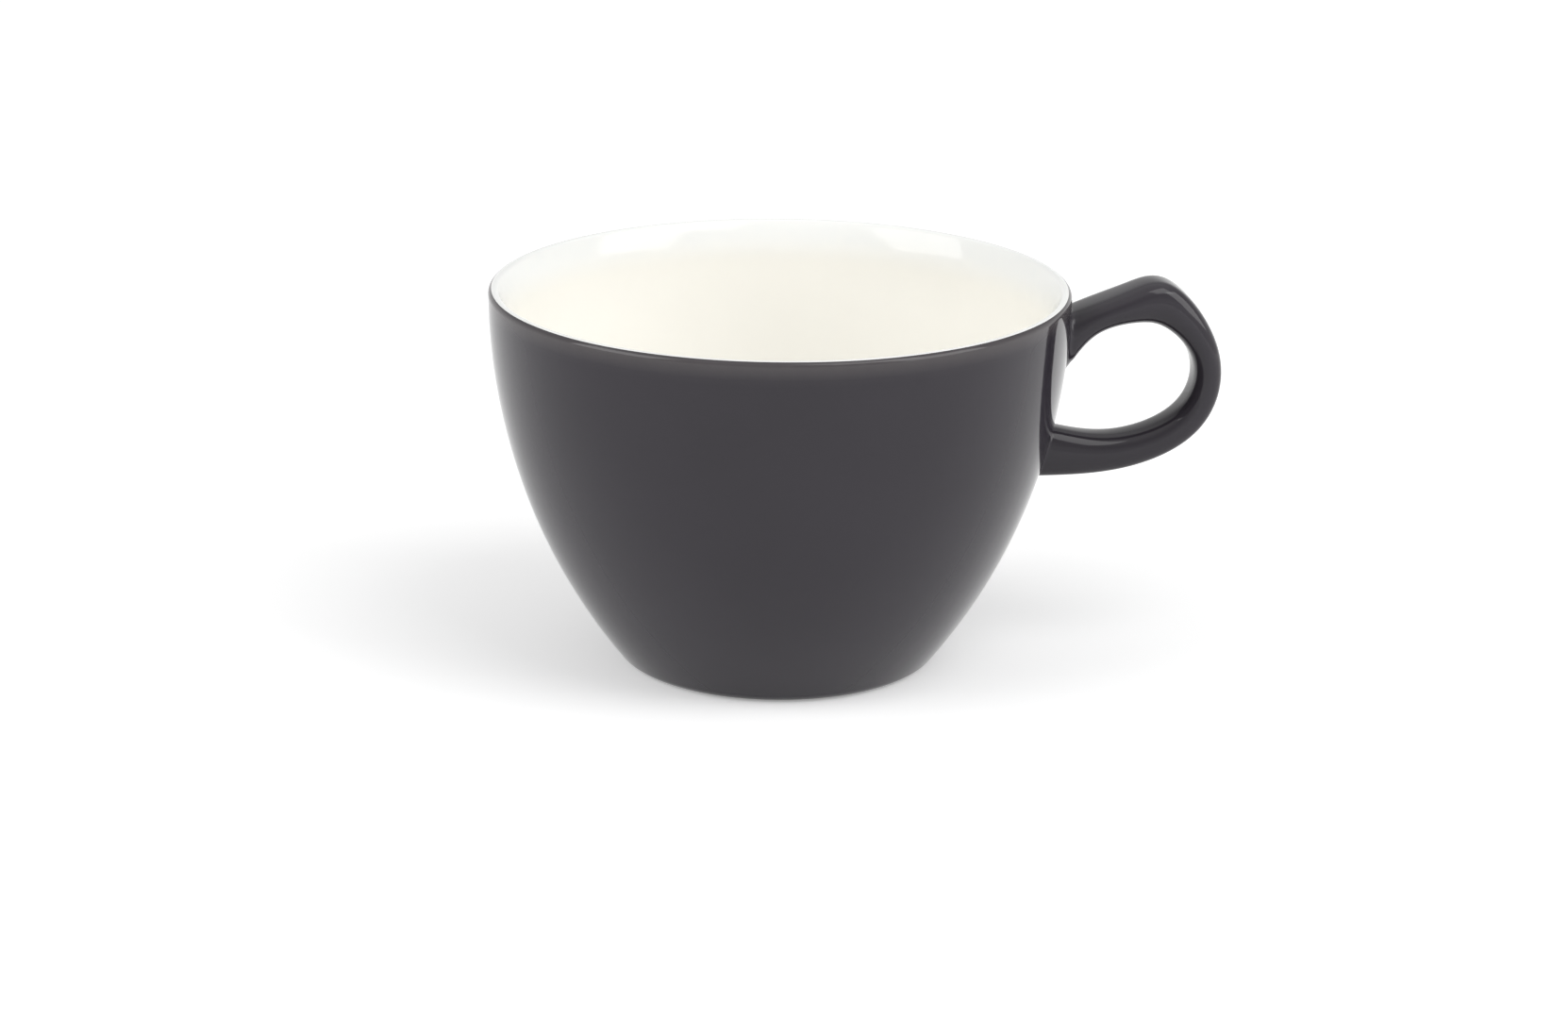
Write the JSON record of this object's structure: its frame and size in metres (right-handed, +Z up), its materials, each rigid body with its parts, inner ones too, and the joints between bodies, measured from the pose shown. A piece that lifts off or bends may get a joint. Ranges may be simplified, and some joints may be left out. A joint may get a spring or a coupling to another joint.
{
  "type": "cappuccino cup",
  "caption": "Wide round porcelain cup with an inward-curving wall, a flat foot ring and a looped side handle, glazed charcoal outside and white inside, for milky coffee.",
  "frame": {"origin": "on the cup's axis, on the plane of the foot ring that it stands on", "axes": "+Z up along the cup's axis, +X towards the handle, the handle's loop lies in the XZ plane"},
  "size_m": [0.1296, 0.102, 0.0677],
  "materials": {
    "bare_porcelain": "fired, unglazed, fine matt",
    "joining_slip": "fired slip under the glaze, matt",
    "white_glaze": "clear gloss over warm white",
    "charcoal_glaze": "gloss charcoal"
  },
  "bodies": {
    "root": {"bowl": "bare_porcelain", "lining_glaze": "white_glaze", "outside_glaze": "charcoal_glaze", "base_glaze": "charcoal_glaze", "handle": "bare_porcelain", "upper_slip_joint": "joining_slip", "lower_slip_joint": "joining_slip", "handle_glaze": "charcoal_glaze"}
  },
  "joints": []
}
